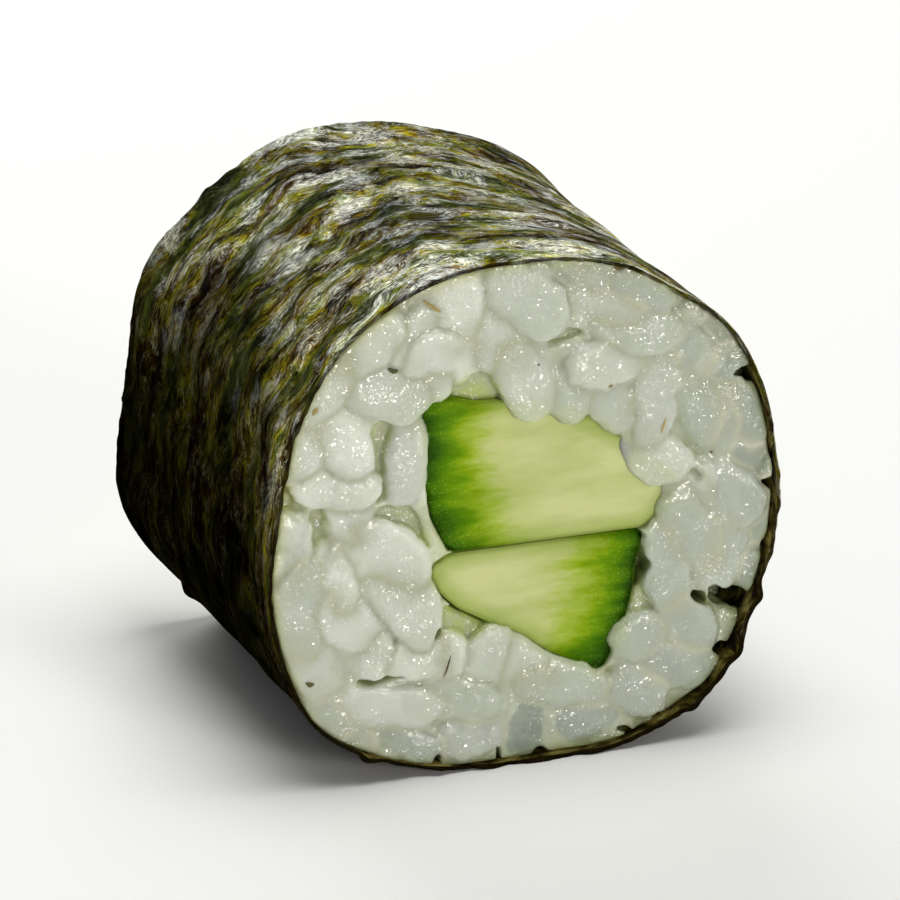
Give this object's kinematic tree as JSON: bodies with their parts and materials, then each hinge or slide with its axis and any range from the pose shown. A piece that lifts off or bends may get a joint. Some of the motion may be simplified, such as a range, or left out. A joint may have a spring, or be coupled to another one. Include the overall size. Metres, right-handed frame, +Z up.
{
  "type": "cucumber maki roll",
  "caption": "Short slice of a sushi roll: toasted nori wrapped round sushi rice with wedge-cut cucumber sticks running through it, resting on its side.",
  "frame": {"origin": "centre of the roll's bounding box on the plane it rests on", "axes": "+Z up; the roll's axis runs along Y and the face that is looked at is the cut face at -Y; X across"},
  "size_m": [0.027, 0.025, 0.0266],
  "materials": {
    "nori": "wrinkled moist seaweed sheet, dark green to brown, satin sheen",
    "rice": "cooked short-grain rice, translucent and moist",
    "cucumber": "fresh cut cucumber, wet pale flesh with dark green skin"
  },
  "bodies": {
    "root": {"nori_wrap": "nori", "rice": "rice", "cucumber_upper": "cucumber", "cucumber_lower": "cucumber"}
  },
  "joints": []
}
